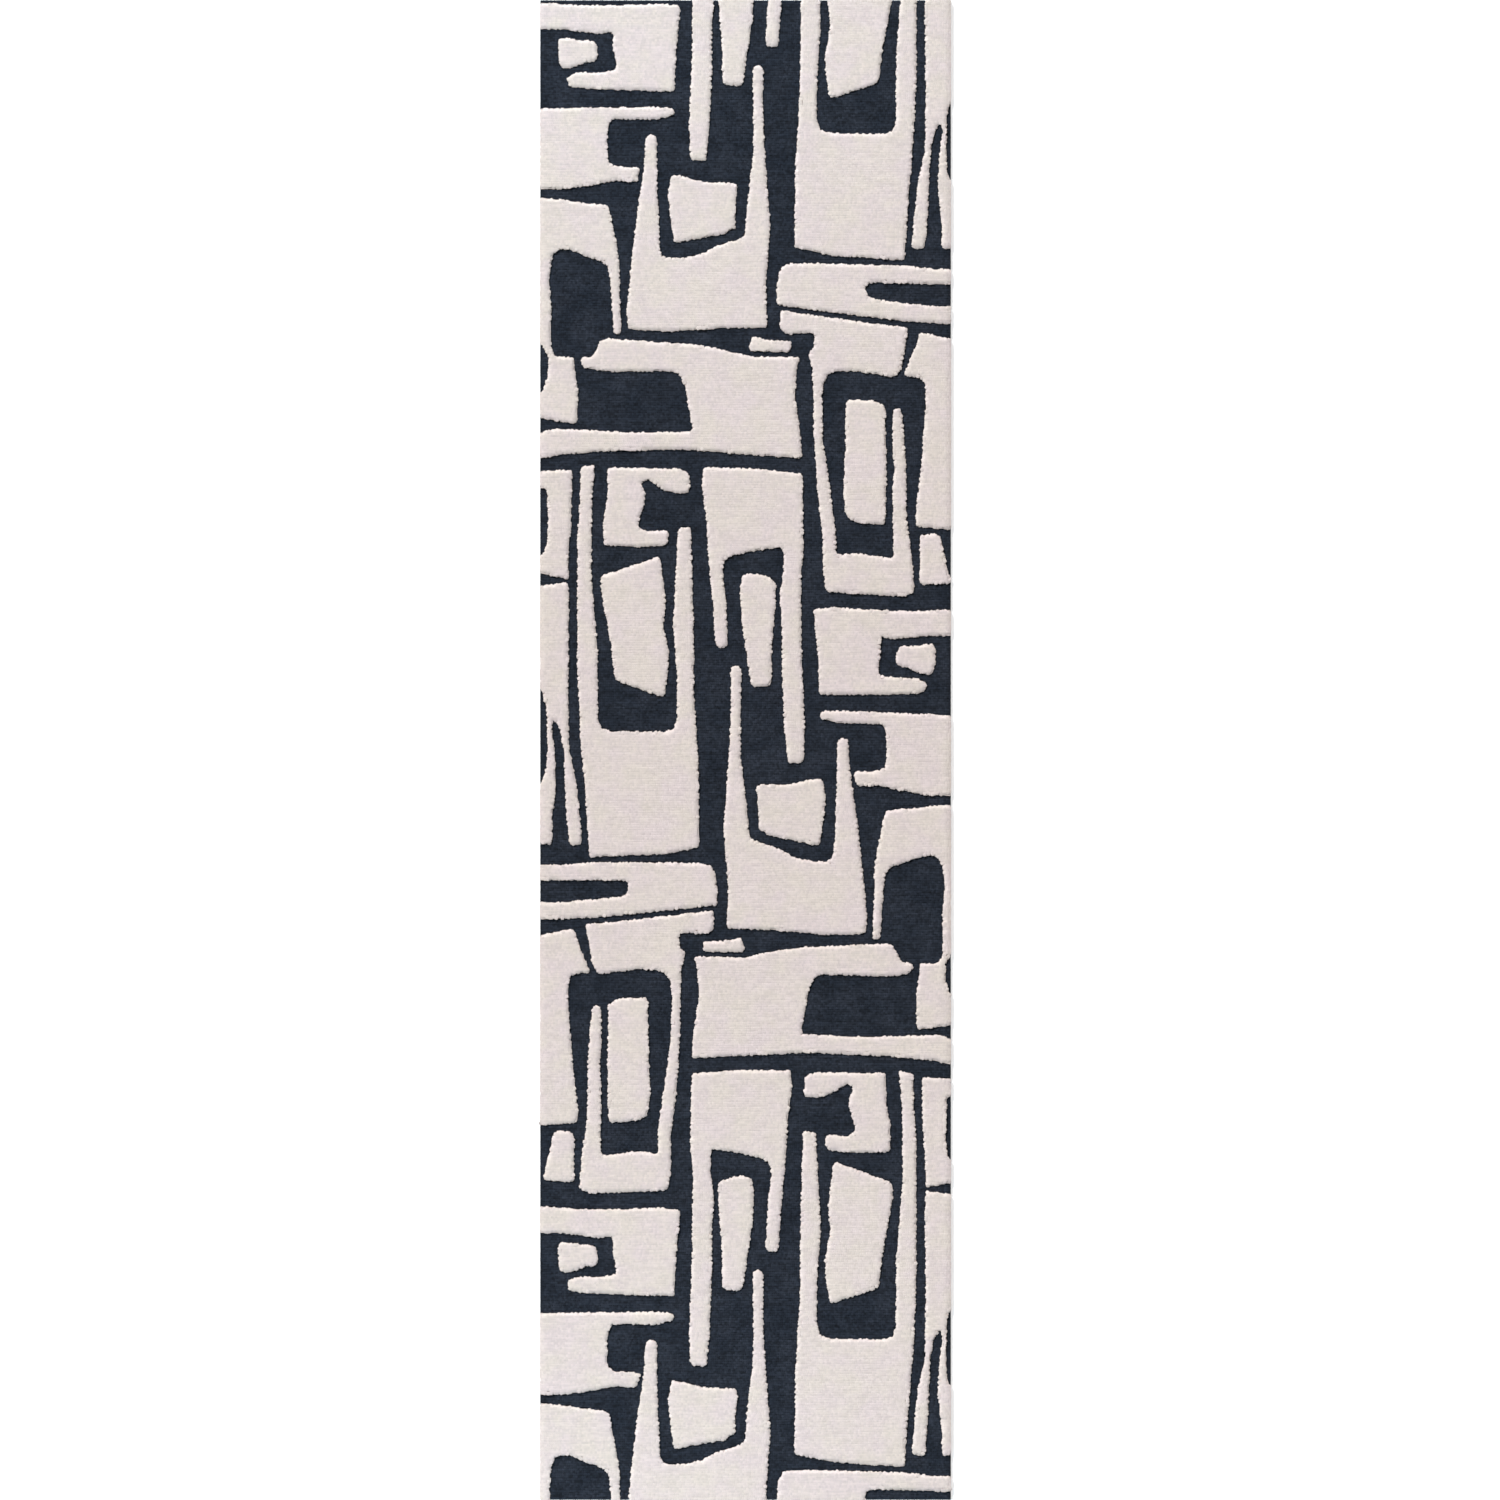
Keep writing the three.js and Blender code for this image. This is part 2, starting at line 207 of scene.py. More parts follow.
class Wire:
    """A value or a colour on its way through the nodes of a finish."""

    def __init__(self, tree, socket=None):
        self.tree = tree
        self.socket = socket

    def node(self, kind, settings=None, inputs=None, output=0):
        """Adds a node, sets it, joins its inputs and gives the wire that leaves it."""
        made = self.tree.nodes.new(kind)
        for name, value in (settings or {}).items():
            if name == "stops":
                ramp = made.color_ramp.elements
                for place, colour in value[2:]:
                    ramp.new(place)
                for element, (place, colour) in zip(ramp, value):
                    element.position = place
                    element.color = (*colour, 1)
            else:
                setattr(made, name, value)
        for key, value in (inputs or {}).items():
            end = socket_of(made.inputs, key)
            if isinstance(value, Wire):
                self.tree.links.new(value.socket, end)
            else:
                end.default_value = value
        return Wire(self.tree, socket_of(made.outputs, output))

    def maths(self, operation, *values):
        inputs = dict(enumerate(values))
        return self.node("ShaderNodeMath", {"operation": operation}, inputs)

    def __add__(self, other):
        return self.maths("ADD", self, other)

    def __sub__(self, other):
        return self.maths("SUBTRACT", self, other)

    def __rsub__(self, other):
        return self.maths("SUBTRACT", other, self)

    def __mul__(self, other):
        return self.maths("MULTIPLY", self, other)

    __radd__ = __add__
    __rmul__ = __mul__

    def between(self, low, high):
        """0 below low, 1 above high, and even in between."""
        inputs = {"Value": self, "From Min": low, "From Max": high}
        return self.node("ShaderNodeMapRange", {"clamp": True}, inputs)

    def mixed(self, first, second):
        """The first colour where this is 0 and the second where it is 1."""
        inputs = {"Factor": self, "A": first, "B": second}
        return self.node("ShaderNodeMix", {"data_type": "RGBA"}, inputs, "Result")

    def shaded(self, amount):
        """This colour made darker or lighter by a number."""
        inputs = {0: self, "Scale": amount}
        return self.node("ShaderNodeVectorMath", {"operation": "SCALE"}, inputs)


def rgb(red, green, blue):
    return (red, green, blue, 1)


def finish(name, roughness, sheen):
    """An empty cloth finish: its material, its cloth shader and a wire to build from."""
    material = bpy.data.materials.new(name)
    material.use_nodes = True
    cloth = material.node_tree.nodes["Principled BSDF"]
    cloth.inputs["Roughness"].default_value = roughness
    cloth.inputs["Specular IOR Level"].default_value = 0.15
    cloth.inputs["Sheen Weight"].default_value = sheen
    cloth.inputs["Sheen Roughness"].default_value = 0.5
    return material, cloth, Wire(material.node_tree)


def place_on_rug(start):
    """The place on the rug in metres, as a vector."""
    return start.node("ShaderNodeTexCoord", output="Object")


def noise(place, stretch, detail=2.0):
    """Cloudy noise, with its speckles per metre along X, Y and Z."""
    scaled = place.node("ShaderNodeMapping", None, {"Vector": place, "Scale": stretch})
    inputs = {"Vector": scaled, "Scale": 1.0, "Detail": detail}
    return place.node("ShaderNodeTexNoise", None, inputs, "Fac")


def join(tree, wire, socket):
    tree.links.new(wire.socket, socket)


# %% [markdown]
# ## Yarns
#
# Both piles are a dull, heat-set yarn. Ivory yarn is never one white: each dye lot and each end
# is a little pinker or creamier and the rows are a little uneven. Deep down between the ends the
# colour is painted darker, a painted shade where light fades. The charcoal has more blue in it,
# and a few lighter fibres show along its ribs. Each end gets its own tone from the loom further
# down, and rim ends facing the main lamp get a painted highlight on top of it; both are stored on
# the end as one named attribute.

# %% Pile yarns
LOT_SPECKLES = (26, 26, 26)
ROW_SPECKLES = (45, 300, 60)
FIBRE_SPECKLES = (2000, 2000, 800)
FIBRE_RELIEF = 0.4 * MM
END_PART = 0.55
ROW_PART = 0.45


def pile_yarn(name, main, other, dark, painted_shade_depths, spread, sheen):
    """Cut pile yarn: its two tones, the painted shade deep down between the ends, and where that begins
    and ends.
    """
    material, cloth, start = finish(name, 0.92, sheen)
    place = place_on_rug(start)
    lots = noise(place, LOT_SPECKLES, 3.0).between(0.35, 0.65)
    rows = noise(place, ROW_SPECKLES).between(0.3, 0.7)
    end = start.node("ShaderNodeAttribute", {"attribute_name": "end_shade"}, output="Fac")
    height = start.node("ShaderNodeSeparateXYZ", None, {"Vector": place}, "Z")
    colour = lots.mixed(main, other)
    # How light each spot is: a random tone per end and per row, plus the painted highlight that rim ends
    # facing the lamp carry in their end tone.
    light = 1 - spread / 2 + end * (spread * END_PART) + rows * (spread * ROW_PART)
    # Painted shade: deep down between the ends the colour turns to the dark one, where light fades.
    colour = height.between(*painted_shade_depths).mixed(dark, colour.shaded(light))
    fibres = noise(place, FIBRE_SPECKLES)
    inputs = {"Height": fibres, "Strength": 0.7, "Distance": FIBRE_RELIEF}
    join(start.tree, colour, cloth.inputs["Base Color"])
    join(start.tree, start.node("ShaderNodeBump", None, inputs), cloth.inputs["Normal"])
    join(start.tree, 0.86 + rows * 0.1, cloth.inputs["Roughness"])
    return material


ivory_yarn = pile_yarn(
    "ivory_yarn",
    main=rgb(0.835, 0.702, 0.677),
    other=rgb(0.835, 0.720, 0.647),
    # The painted shade deep down between the ivory ends.
    dark=rgb(0.68, 0.57, 0.53),
    painted_shade_depths=(IVORY_TOP - 5.0 * MM, IVORY_TOP - 1.6 * MM),
    spread=0.22,
    sheen=0.1,
)
charcoal_yarn = pile_yarn(
    "charcoal_yarn",
    main=rgb(0.0180, 0.0228, 0.0335),
    other=rgb(0.0285, 0.0335, 0.0465),
    # The painted shade deep down between the charcoal ends.
    dark=rgb(0.008, 0.009, 0.013),
    painted_shade_depths=(CHARCOAL_TOP - 2.4 * MM, CHARCOAL_TOP - 0.6 * MM),
    spread=1.1,
    sheen=0.05,
)
print("Yarns:", ivory_yarn.name, "and", charcoal_yarn.name)

# %% [markdown]
# ## The loom's raster
#
# A loom can only put a yarn end where a warp and a weft cross, so the whole design is a raster
# of ends: rows across the rug, 3.9 mm apart. Instead of drawing any outline again, a plumb line
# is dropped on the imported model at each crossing, and the body it lands on says which yarn
# stands there. Rows slip sideways a little as the reed beats them up, and this leaves the
# upright edges toothed.

# %% Raster
USUAL_ROW = 3.9 * MM
USUAL_END = 3.5 * MM
ROWS = round(2 * HALF_LENGTH / USUAL_ROW)
ENDS = round(2 * HALF_WIDTH / USUAL_END)
ROW_PITCH = 2 * HALF_LENGTH / ROWS
END_PITCH = 2 * HALF_WIDTH / ENDS
ROW_SLIP = 1.2 * MM
END_SLIP = 0.35 * MM
SIDE_ROOM = 2.2 * MM
SPLAY = 0.8 * MM

chance = np.random.default_rng(11)
across = (np.arange(ENDS) + 0.5) * END_PITCH - HALF_WIDTH
along = (np.arange(ROWS) + 0.5) * ROW_PITCH - HALF_LENGTH
slip = chance.uniform(-ROW_SLIP, ROW_SLIP, (ROWS, 1))
end_x = across + slip + chance.uniform(-END_SLIP, END_SLIP, (ROWS, ENDS))
end_y = along[:, None] + chance.uniform(-END_SLIP, END_SLIP, (ROWS, ENDS))
end_x = np.clip(end_x, -HALF_WIDTH + SIDE_ROOM, HALF_WIDTH - SIDE_ROOM)

points, faces, body_of_face = [], [], []
PILE_BODIES = ["charcoal_pile", *IVORY_FIELDS]
for number, name in enumerate(PILE_BODIES):
    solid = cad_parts[name].data
    first = len(points)
    points += [v.co.copy() for v in solid.vertices]
    faces += [[first + v for v in face.vertices] for face in solid.polygons]
    body_of_face += [number] * len(solid.polygons)
plumb = BVHTree.FromPolygons(points, faces)


def body_under(x, y):
    """The number of the pile body that a plumb line meets first."""
    face = plumb.ray_cast((x, y, 1), (0, 0, -1))[2]
    return None if face is None else body_of_face[face]


def yarn_at(x, y):
    """The ivory field that holds this place and the ground one splay away from it, or 0."""
    ways = [(x, y), (x - SPLAY, y), (x + SPLAY, y), (x, y - SPLAY), (x, y + SPLAY)]
    bodies = {body_under(*way) for way in ways} - {None}
    return bodies.pop() if len(bodies) == 1 else 0


yarn_of_end = np.array([[yarn_at(x, y) for x, y in zip(*row)] for row in zip(end_x, end_y)])
is_ivory = yarn_of_end > 0
print(f"{ROWS} rows of {ENDS} ends, {100 * is_ivory.mean():.0f}% of them ivory")

# %% [markdown]
# ## How each end stands
#
# In the middle of a field the ends hold each other upright. At its rim nothing holds them on
# one side, so they splay outwards and sit a little lower, which rounds the rim. The charcoal
# ends next to a field are pressed away from it. Along the two long sides the whole pile rolls
# off over the last centimetre. For each end the open ground round it is added up, nearer ground
# counting for more: that gives both the way it leans and how far it sinks. Where an open side
# faces the main lamp, those ends get a painted highlight: their yarn is painted paler, the more
# so the more that side faces the lamp. The ends at a rim also spread or crowd until they fill
# the outline of their field, and those behind them follow a little over half as far. Without
# that, slanting edges would look like stairs, one step for each row.

# %% Lean and height
REACH = 3
FADE = 4.2 * MM
ROLL_OFF = 9 * MM
RIM_REACH = 3.7 * MM
RAGGED = 1.4 * MM
FOLLOW = 0.6
PROBE = 0.5 * MM
LEAST_PULL = 0.01
IVORY_LEAN, CHARCOAL_LEAN, ROLL_LEAN = 1.3, -0.3, 0.2
IVORY_SINK, CHARCOAL_SINK, ROLL_SINK = 0.26, 0.2, 0.3
ROLL_CURVE = 1.5
FARTHEST = RIM_REACH + 1.5 * ROW_PITCH


def pull(crowd):
    """For each end, the summed way to these neighbours, and how much of its ground they take."""
    wide = np.pad(crowd.astype(float), REACH, mode="edge")
    lean = np.zeros((ROWS, ENDS, 2))
    share = np.zeros((ROWS, ENDS))
    total = 0
    steps = range(-REACH, REACH + 1)
    for row, end in [(r, e) for r in steps for e in steps if r or e]:
        far = math.hypot(row * ROW_PITCH, end * END_PITCH)
        weight = math.exp(-((far / FADE) ** 2))
        near = wide[REACH + row : REACH + row + ROWS, REACH + end : REACH + end + ENDS]
        way = np.array([end * END_PITCH, row * ROW_PITCH]) / far
        lean += (near * weight)[..., None] * way
        share += near * weight
        total += weight
    return lean / total, share / total


to_low, low_share = pull(~is_ivory)
to_high, high_share = pull(is_ivory)
side_gap = HALF_WIDTH - np.abs(end_x)
roll = np.clip(1 - side_gap / ROLL_OFF, 0, 1) ** ROLL_CURVE
lean = np.where(is_ivory[..., None], to_low * IVORY_LEAN, to_high * CHARCOAL_LEAN)
lean[..., 0] += np.sign(end_x) * roll * ROLL_LEAN
# How much each end's open side faces the main lamp, for the painted highlight on rim ends.
facing = np.clip(to_low @ np.array(LAMP_FROM.xy.normalized()), 0, None)
sink = np.where(is_ivory, low_share * IVORY_SINK, high_share * CHARCOAL_SINK) + roll * ROLL_SINK


def gap_ahead(x, y, way):
    """How far the outline of this field lies that way, or nothing if it's far."""
    here = body_under(x, y)
    for step in np.arange(PROBE, FARTHEST, PROBE):
        if body_under(x + way[0] * step, y + way[1] * step) != here:
            return step - PROBE / 2
    return None


slides = []
for row, end in np.argwhere(is_ivory & (np.linalg.norm(to_low, axis=2) > LEAST_PULL)):
    way = to_low[row, end] / np.linalg.norm(to_low[row, end])
    gap = gap_ahead(end_x[row, end], end_y[row, end], way)
    if gap is not None:
        behind = max(0, round((gap - RIM_REACH) / ROW_PITCH))
        slide = (gap - RIM_REACH - behind * ROW_PITCH) * FOLLOW**behind
        slide += chance.uniform(-RAGGED, RAGGED) * FOLLOW**behind
        slides.append((row, end, *(way * slide)))
for row, end, slide_x, slide_y in slides:
    end_x[row, end] += slide_x
    end_y[row, end] += slide_y
print(f"{len(slides)} ends spread or crowd to fill their outline")
steepest = math.degrees(math.atan(np.linalg.norm(lean, axis=2).max()))
print(f"The steepest end leans {steepest:.0f} degrees")

# %% [markdown]
# ## Tufting
#
# One end of cut pile is a short twisted stub with a soft top. It is modelled once, with
# fifteen triangles, because there are more than a hundred thousand of them. Copying it by
# hand in Python would be slow and hard to change, so a Geometry Nodes tree does the tufting:
# it reads how each end leans and sinks, adds the small accidents of yarn, sets the stub on
# every point, joins the ends to the roots they stand in and gives them their yarn.

# %% Geometry tree helpers
def named_tree(name, inputs):
    """A Geometry Nodes tree with named inputs, its first wire and its input node."""
    tree = bpy.data.node_groups.new(name, "GeometryNodeTree")
    face = tree.interface
    face.new_socket("Geometry", in_out="INPUT", socket_type="NodeSocketGeometry")
    face.new_socket("Geometry", in_out="OUTPUT", socket_type="NodeSocketGeometry")
    for label, kind in inputs.items():
        face.new_socket(label, in_out="INPUT", socket_type="NodeSocket" + kind)
    return tree, Wire(tree), tree.nodes.new("NodeGroupInput")


def run_tree(piece, tree, values):
    """Runs the tree on a piece, keeps what it makes as plain mesh and takes the tree off."""
    modifier = piece.modifiers.new(tree.name, "NODES")
    modifier.node_group = tree
    for item in tree.interface.items_tree:
        if item.in_out == "INPUT" and item.name in values:
            modifier[item.identifier] = values[item.name]
    graph = bpy.context.evaluated_depsgraph_get()
    result = piece.evaluated_get(graph)
    mesh = bpy.data.meshes.new_from_object(result, preserve_all_data_layers=True, depsgraph=graph)
    mesh.name = piece.name
    mesh.materials.clear()
    mesh.materials.append(values["Yarn"])
    piece.modifiers.clear()
    piece.data = mesh
    return piece


# %% Tufting tree
LENGTH_SCATTER = 0.15

tufting, start, given = named_tree(
    "tufting",
    {
        "Stub": "Object",
        "Roots": "Object",
        "Twist": "Float",
        "Scatter": "Float",
        "Size scatter": "Float",
        # How much paler rim ends facing the main lamp are painted: a painted highlight.
        "Rim glow": "Float",
        "Seed": "Int",
        "Yarn": "Material",
    },
)
asked = {s.name: Wire(tufting, s) for s in given.outputs}


def random_value(low, high, offset, kind="FLOAT"):
    inputs = {"Min": low, "Max": high, "Seed": asked["Seed"] + offset}
    return start.node("FunctionNodeRandomValue", {"data_type": kind}, inputs, "Value")


def asked_scatter(name, offset):
    """A random number from minus to plus the size that was asked for."""
    return random_value(-1.0, 1.0, offset) * asked[name]


def note_on_end(label, kind="FLOAT"):
    """What the raster noted down for this end."""
    settings = {"data_type": kind}
    return start.node("GeometryNodeInputNamedAttribute", settings, {"Name": label}, "Attribute")


leaning = note_on_end("lean", "FLOAT_VECTOR")
sinking = note_on_end("sink")
facing_lamp = note_on_end("facing")
accident = start.node(
    "ShaderNodeCombineXYZ",
    None,
    {"X": asked_scatter("Scatter", 1), "Y": asked_scatter("Scatter", 2), "Z": 1.0},
)
upward = start.node("ShaderNodeVectorMath", {"operation": "ADD"}, {0: leaning, 1: accident})
tilted = start.node(
    "FunctionNodeAlignRotationToVector", {"axis": "Z"}, {"Vector": upward}, "Rotation"
)
turn = start.node(
    "FunctionNodeAxisAngleToRotation",
    None,
    {"Axis": (0, 0, 1), "Angle": asked_scatter("Twist", 3)},
    "Rotation",
)
turned = start.node(
    "FunctionNodeRotateRotation",
    {"rotation_space": "LOCAL"},
    {"Rotation": tilted, "Rotate By": turn},
    "Rotation",
)
size = start.node(
    "ShaderNodeCombineXYZ",
    None,
    {
        "X": 1 + asked_scatter("Size scatter", 4),
        "Y": 1 + asked_scatter("Size scatter", 5),
        "Z": 1 - sinking + asked_scatter("Size scatter", 6) * LENGTH_SCATTER,
    },
)
one_stub = start.node("GeometryNodeObjectInfo", None, {"Object": asked["Stub"]}, "Geometry")
the_roots = start.node("GeometryNodeObjectInfo", None, {"Object": asked["Roots"]}, "Geometry")
tufts = start.node(
    "GeometryNodeInstanceOnPoints",
    None,
    {"Points": asked["Geometry"], "Instance": one_stub, "Rotation": turned, "Scale": size},
    "Instances",
)
# Each end's random tone, plus a painted highlight on rim ends that face the main lamp.
shade = random_value(0.0, 1.0, 7) + facing_lamp * asked["Rim glow"]
shaded_tufts = start.node(
    "GeometryNodeStoreNamedAttribute",
    {"data_type": "FLOAT", "domain": "INSTANCE"},
    {"Geometry": tufts, "Name": "end_shade", "Value": shade},
    "Geometry",
)
real_tufts = start.node(
    "GeometryNodeRealizeInstances", None, {"Geometry": shaded_tufts}, "Geometry"
)
bunch = tufting.nodes.new("GeometryNodeJoinGeometry")
for member in (the_roots, real_tufts):
    join(tufting, member, bunch.inputs[0])
pile = start.node(
    "GeometryNodeSetMaterial",
    None,
    {"Geometry": Wire(tufting, bunch.outputs[0]), "Material": asked["Yarn"]},
    "Geometry",
)
join(tufting, pile, tufting.nodes.new("NodeGroupOutput").inputs[0])
print("Tufting tree:", len(tufting.nodes), "nodes")

# %% [markdown]
# ## The stubs
#
# An ivory stub is wider than its crossing, so neighbours press into each other and the long
# pile closes into a soft, even surface. A charcoal stub is narrower from row to row than along
# its row, which leaves the fine ribs that run across the low pile. Both are rooted just above
# the ground and end at the height of their pile. The edges round the crown are sharp and the
# rest is smooth, so that the light on the crown isn't bent by the steep sides below it.

# %% Stubs
SIDES = 5
IVORY_FOOT = GROUND_TOP + 1.0 * MM
IVORY_FOOT_SIZE = (1.5 * MM, 1.5 * MM)
IVORY_SHOULDER = (3.5 * MM, 3.5 * MM)
IVORY_CROWN = 1.0 * MM
CHARCOAL_FOOT = GROUND_TOP + 0.2 * MM
CHARCOAL_FOOT_SIZE = (1.9 * MM, 1.7 * MM)
CHARCOAL_SHOULDER = (2.9 * MM, 2.4 * MM)
CHARCOAL_CROWN = 0.9 * MM


def stub(name, foot, shoulder, crown, length):
    """A five-sided stub that turns as it rises. Foot and shoulder are half widths along X and Y."""

    def ring(width, z, turn):
        angles = [math.tau * (side + turn) / SIDES for side in range(SIDES)]
        return [(width[0] * math.cos(a), width[1] * math.sin(a), z) for a in angles]

    points = ring(foot, 0, 0) + ring(shoulder, length - crown, 0.5) + [(0, 0, length)]
    faces = []
    for side in range(SIDES):
        after = (side + 1) % SIDES
        faces.append((side, after, SIDES + side))
        faces.append((after, SIDES + after, SIDES + side))
        faces.append((SIDES + side, SIDES + after, 2 * SIDES))
    mesh = plain_mesh(name, points, faces)
    mesh.shade_smooth()
    for edge in mesh.edges:
        edge.use_edge_sharp = all(SIDES <= v < 2 * SIDES for v in edge.vertices)
    return shown(name, mesh)


ivory_length = IVORY_TOP - IVORY_FOOT
charcoal_length = CHARCOAL_TOP - CHARCOAL_FOOT
ivory_stub = stub("ivory_stub", IVORY_FOOT_SIZE, IVORY_SHOULDER, IVORY_CROWN, ivory_length)
charcoal_stub = stub(
    "charcoal_stub", CHARCOAL_FOOT_SIZE, CHARCOAL_SHOULDER, CHARCOAL_CROWN, charcoal_length
)
print(f"An ivory end is {1000 * ivory_length:.1f} mm long")
print(f"A charcoal end is {1000 * charcoal_length:.1f} mm long")

# %% [markdown]
# ## Weaving the pile
#
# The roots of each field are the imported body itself, cut down and drawn in at its sides so
# that the tufts hide it. One call then tufts a field. Its flat map follows the rug like a
# sheet of paper, leaning a little so that upright faces get some room on it too. The charcoal
# would be too much for one mesh, so it is tufted in six lengths over one piece of roots. An
# end that leans starts a little further back, so that its top stays near its place on the
# raster.

# %% Weaving helpers
IVORY_ROOTS = 6 * MM
CHARCOAL_ROOTS = 2.2 * MM
ROOT_INSET = 1.4 * MM
HOLD = 0.7
WELD = 0.001 * MM
SIDE_WALL = 0.1
MAP_LEAN = 0.3
MAP_MARGIN = 0.01
LEAN_SCATTER = 0.035
SIZE_SCATTER = 0.05


def solid_copy(name, node, lowest=-1.0, highest=1.0, inset=0.0):
    """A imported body's solid, welded, kept between two heights and drawn in at its sides."""
    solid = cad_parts[node].data
    points = [(v.co.x, v.co.y, min(max(v.co.z, lowest), highest)) for v in solid.vertices]
    mesh = plain_mesh(name, points, [f.vertices for f in solid.polygons])
    welded = bmesh.new()
    welded.from_mesh(mesh)
    bmesh.ops.remove_doubles(welded, verts=welded.verts, dist=WELD)
    welded.normal_update()
    for point in welded.verts:
        sideways = Vector((point.normal.x, point.normal.y, 0))
        if sideways.length > SIDE_WALL:
            point.co -= inset * sideways.normalized()
    welded.to_mesh(mesh)
    welded.free()
    return mesh


def flat_map(mesh):
    """Lays the mesh on a flat map, seen from above and a little from the side."""
    spots = np.empty(len(mesh.vertices) * 3, np.float32)
    mesh.vertices.foreach_get("co", spots)
    spots = spots.reshape(-1, 3)
    spots = spots[:, :2] + MAP_LEAN * spots[:, 2:]
    low, high = spots.min(0), spots.max(0)
    spots = MAP_MARGIN + (1 - 2 * MAP_MARGIN) * (spots - low) / (high - low)
    corner = np.empty(len(mesh.loops), np.int32)
    mesh.loops.foreach_get("vertex_index", corner)
    mesh.uv_layers.new(name="OFBake").data.foreach_set("uv", spots[corner].ravel())


def hand_over(piece, node):
    """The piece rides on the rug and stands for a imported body."""
    if "OFBake" not in piece.data.uv_layers:
        flat_map(piece.data)
    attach(piece, "root")
    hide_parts(node)
    return piece


def weave(name, chosen, foot, tuft, roots, yarn, twist, glow, seed):
    """Tufts the chosen ends and the roots they stand in as one piece."""
    length = max(corner[2] for corner in tuft.bound_box)
    x = end_x[chosen] - HOLD * length * lean[chosen][:, 0]
    y = end_y[chosen] - HOLD * length * lean[chosen][:, 1]
    mesh = plain_mesh(name, zip(x, y, np.full(len(x), foot)), [])
    tilt = np.column_stack([lean[chosen], np.zeros(len(x))]).astype(np.float32)
    mesh.attributes.new("lean", "FLOAT_VECTOR", "POINT").data.foreach_set("vector", tilt.ravel())
    for label, noted in (("sink", sink), ("facing", facing)):
        share = noted[chosen].astype(np.float32)
        mesh.attributes.new(label, "FLOAT", "POINT").data.foreach_set("value", share)
    values = {
        "Stub": tuft,
        "Roots": roots,
        "Twist": math.radians(twist),
        "Scatter": LEAN_SCATTER,
        "Size scatter": SIZE_SCATTER,
        # glow is the painted highlight on rim ends that face the main lamp.
        "Rim glow": glow,
        "Seed": seed,
        "Yarn": yarn,
    }
    return run_tree(shown(name, mesh), tufting, values)


# %% Ivory fields
IVORY_TWIST = 36
# How much paler rim ends facing the main lamp are painted: a painted highlight.
PAINTED_RIM_LIGHT = 5
ivory_pieces = []
for number, node in enumerate(IVORY_FIELDS, start=1):
    root_mesh = solid_copy("roots", node, highest=GROUND_TOP + IVORY_ROOTS, inset=ROOT_INSET)
    roots = shown("roots", root_mesh)
    chosen = yarn_of_end == number
    piece = weave(
        node + "_pile", chosen, IVORY_FOOT, ivory_stub, roots,
        ivory_yarn, IVORY_TWIST, PAINTED_RIM_LIGHT, number,
    )
    ivory_pieces.append(hand_over(piece, node))
    bpy.data.objects.remove(roots)
ivory_faces = sum(len(piece.data.polygons) for piece in ivory_pieces)
print(f"{len(ivory_pieces)} ivory fields, {ivory_faces} faces")

# %% Charcoal pile
CHARCOAL_TWIST = 8
LENGTHS = 6
FIRST_SEED = 100
charcoal_pieces = []
for number in range(LENGTHS):
    rows = np.arange(ROWS)[:, None] * LENGTHS // ROWS == number
    name = f"charcoal_pile_length_{number + 1}"
    chosen = ~is_ivory & rows
    piece = weave(
        name, chosen, CHARCOAL_FOOT, charcoal_stub, None,
        charcoal_yarn, CHARCOAL_TWIST, 0, FIRST_SEED + number,
    )
    charcoal_pieces.append(hand_over(piece, "charcoal_pile"))
roots_top = GROUND_TOP + CHARCOAL_ROOTS
charcoal_roots = shown("charcoal_roots", solid_copy("roots", "charcoal_pile", highest=roots_top))
charcoal_roots.data.materials.append(charcoal_yarn)
charcoal_pieces.append(hand_over(charcoal_roots, "charcoal_pile"))
for helper in (ivory_stub, charcoal_stub):
    bpy.data.objects.remove(helper)
charcoal_faces = sum(len(piece.data.polygons) for piece in charcoal_pieces)
print(f"{len(charcoal_pieces)} charcoal pieces, {charcoal_faces} faces")

# %% [markdown]
# ## Ground, edges, tapes and label
#
# Turned over, a rug shows how it is held together: a jute ground with its wefts as ribs and a
# chain warp over them, a cord whipped with yarn along each side, a cotton tape over each cut
# end and a sewn label. These need their own finishes. A weave is two sets of threads, so its
# colour is worked out from the place across and along the cloth and needs no picture.

# %% Cloth finishes
SLUB_SPECKLES = (220, 220, 400)
THREAD_PART = 0.65
SLUB_PART = 0.35


def stripes(start, across, pitch):
    """0 to 1 and back again with this pitch."""
    return start.maths("SINE", across * (math.tau / pitch)) * 0.5 + 0.5


def thread_finish(name, light, dark, pattern, roughness, relief):
    """A cloth whose threads go from dark to light as pattern(x, y, z) goes from 0 to 1."""
    material, cloth, start = finish(name, roughness, 0.1)
    place = place_on_rug(start)
    x, y, z = [
        start.node("ShaderNodeSeparateXYZ", None, {"Vector": place}, axis) for axis in "XYZ"
    ]
    threads = pattern(start, x, y, z)
    slubs = noise(place, SLUB_SPECKLES).between(0.25, 0.75)
    colour = (threads * THREAD_PART + slubs * SLUB_PART).mixed(dark, light)
    inputs = {"Height": threads + slubs * 0.4, "Strength": 0.6, "Distance": relief}
    join(start.tree, colour, cloth.inputs["Base Color"])
    join(start.tree, start.node("ShaderNodeBump", None, inputs), cloth.inputs["Normal"])
    return material


def twisted(start, x, y, z):
    """Jute strands that wind round each weft."""
    return stripes(start, x + y * 0.8, 2.6 * MM)


def whipped(start, x, y, z):
    """Two plies that wind round a cord running along the rug."""
    return stripes(start, y + x * 0.4 + z * 0.6, 0.7 * MM)


def herringbone(start, x, y, z):
    """Twill lines that turn back at every rib of the tape."""
    fold = start.maths("PINGPONG", x, 4 * MM)
    return stripes(start, y + fold, 1.1 * MM)


def satin(start, x, y, z):
    """A smooth label cloth with its weft just showing."""
    return stripes(start, y, 0.35 * MM)


